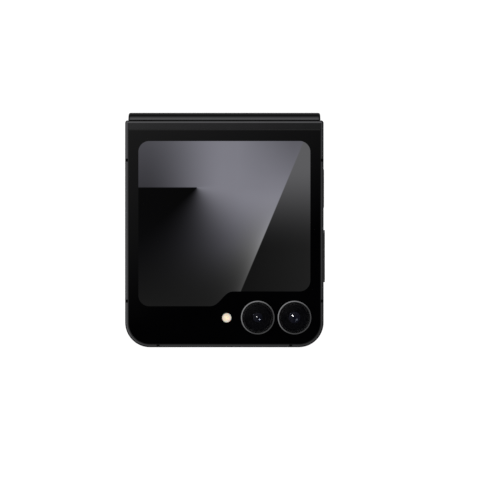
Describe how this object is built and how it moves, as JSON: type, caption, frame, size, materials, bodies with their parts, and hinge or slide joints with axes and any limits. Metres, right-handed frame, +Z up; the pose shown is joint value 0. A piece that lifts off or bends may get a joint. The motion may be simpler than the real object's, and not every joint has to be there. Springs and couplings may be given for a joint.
{
  "type": "folding clamshell smartphone",
  "caption": "Clamshell folding smartphone, closed: glass-backed metal halves with a cover display and round cameras on a geared twin-axis hinge.",
  "frame": {"origin": "centre of the closed phone's resting face, the outer face of the lower half's back glass, midway across the width; along the length it is 39.65 mm from the halves' hinge ends", "axes": "+X to the right seen from the cover display with the hinge at the top, +Y towards the hinge, +Z up out of the cover glass; rest pose is folded shut"},
  "size_m": [0.0724, 0.0852, 0.016],
  "materials": {
    "frame_metal": "black anodised, bead blasted",
    "antenna_plastic": "dark, flush with the metal",
    "back_glass": "black coated, polished",
    "cover_screen": "unlit display behind glass",
    "bezel_plastic": "soft black trim",
    "bumper_rubber": "matt",
    "main_screen": "unlit folding display, glossy film",
    "battery_pouch": "laminate pouch",
    "coil_copper": "copper winding",
    "circuit_board": "solder mask",
    "shield_steel": "plain steel",
    "black_plastic": "moulded",
    "flex_circuit": "polyimide film",
    "hinge_metal": "black anodised, satin",
    "ring_metal": "turned, dark anodised",
    "lens_glass": "coated sapphire-like window",
    "flash_diffuser": "frosted cream lens",
    "key_metal": "black anodised"
  },
  "bodies": {
    "lower_half": {"lower_frame": "frame_metal", "lower_antenna_bands": "antenna_plastic", "back_glass": "back_glass", "lower_bezel": "bezel_plastic", "lower_bumpers": "bumper_rubber", "main_display_lower": "main_screen", "lower_battery": "battery_pouch", "wireless_coil": "coil_copper", "sub_board": "circuit_board", "sub_board_parts": "shield_steel", "usb_port_shell": "shield_steel", "usb_port_tongue": "black_plastic", "loudspeaker": "black_plastic", "haptic_motor": "shield_steel", "lower_bracket": "black_plastic", "lower_screws": "shield_steel", "lower_cable_tail": "flex_circuit", "lower_hinge_arm_right": "shield_steel", "lower_hinge_arm_left": "shield_steel"},
    "hinge_spine": {"hinge_cover": "hinge_metal", "fold_caps": "bezel_plastic", "hinge_pins": "shield_steel", "friction_washers": "shield_steel", "hinge_housing_right": "shield_steel", "hinge_housing_left": "shield_steel", "main_display_fold": "main_screen", "hinge_cable_fold": "flex_circuit"},
    "upper_half": {"upper_frame": "frame_metal", "upper_antenna_bands": "antenna_plastic", "cover_glass": "back_glass", "cover_display": "cover_screen", "upper_bezel": "bezel_plastic", "upper_bumpers": "bumper_rubber", "main_display_upper": "main_screen", "upper_battery": "battery_pouch", "main_board": "circuit_board", "board_shields": "shield_steel", "front_camera": "black_plastic", "earpiece": "shield_steel", "flash_lens": "flash_diffuser", "camera_ring_outer": "ring_metal", "camera_ring_inner": "ring_metal", "camera_window_outer": "lens_glass", "camera_window_inner": "lens_glass", "wide_camera": "black_plastic", "ultrawide_camera": "black_plastic", "upper_bracket": "black_plastic", "upper_screws": "shield_steel", "upper_cable_tail": "flex_circuit", "card_reader": "shield_steel", "key_switches": "flex_circuit", "upper_hinge_arm_right": "shield_steel", "upper_hinge_arm_left": "shield_steel"},
    "idlers_lower": {"idler_gears_lower": "shield_steel"},
    "idlers_upper": {"idler_gears_upper": "shield_steel"},
    "lower_wing": {"lower_wing_plate": "shield_steel"},
    "upper_wing": {"upper_wing_plate": "shield_steel"},
    "volume_rocker": {"volume_key": "key_metal"},
    "power_key": {"side_key": "key_metal"},
    "card_drawer": {"card_tray": "key_metal"}
  },
  "joints": [
    {"name": "hinge_lower", "type": "hinge", "parent": "lower_half", "child": "hinge_spine", "pos_m": [0, 0.038, 0.00535], "axis": [-1, 0, 0], "range_deg": [0, 90], "deforming": ["main_display_fold", "hinge_cable_fold"]},
    {"name": "hinge_upper", "type": "hinge", "parent": "hinge_spine", "child": "upper_half", "pos_m": [0, 0.038, 0.00955], "axis": [-1, 0, 0], "range_deg": [0, 90]},
    {"name": "idler_lower_spin", "type": "hinge", "parent": "hinge_spine", "child": "idlers_lower", "pos_m": [0, 0.04022, 0.00625], "axis": [-1, 0, 0], "range_deg": [0, 90]},
    {"name": "idler_upper_spin", "type": "hinge", "parent": "hinge_spine", "child": "idlers_upper", "pos_m": [0, 0.04022, 0.00865], "axis": [-1, 0, 0], "range_deg": [-90, 0]},
    {"name": "wing_lower_tilt", "type": "hinge", "parent": "lower_half", "child": "lower_wing", "pos_m": [0, 0.0312, 0.00568], "axis": [1, 0, 0], "range_deg": [0, 17.5]},
    {"name": "wing_upper_tilt", "type": "hinge", "parent": "upper_half", "child": "upper_wing", "pos_m": [0, 0.0312, 0.00922], "axis": [-1, 0, 0], "range_deg": [0, 17.5]},
    {"name": "volume_rock", "type": "hinge", "parent": "upper_half", "child": "volume_rocker", "pos_m": [0.0331, -0.00955, 0.01145], "axis": [0, 0, 1], "range_deg": [-1.8, 1.8], "stiffness_Nm_per_rad": 0.4},
    {"name": "power_press", "type": "slide", "parent": "upper_half", "child": "power_key", "axis": [-1, 0, 0], "range_m": [0, 0.00025], "stiffness_N_per_m": 8000},
    {"name": "card_tray_slide", "type": "slide", "parent": "upper_half", "child": "card_drawer", "axis": [-1, 0, 0], "range_m": [0, 0.024]}
  ],
  "couplings": [
    {"joint": "hinge_upper", "follows": "hinge_lower", "ratio": 1},
    {"joint": "idler_lower_spin", "follows": "hinge_lower", "ratio": 1},
    {"joint": "idler_upper_spin", "follows": "hinge_lower", "ratio": -1},
    {"joint": "wing_lower_tilt", "follows": "hinge_lower", "ratio": 0.1944},
    {"joint": "wing_upper_tilt", "follows": "hinge_lower", "ratio": 0.1944}
  ]
}
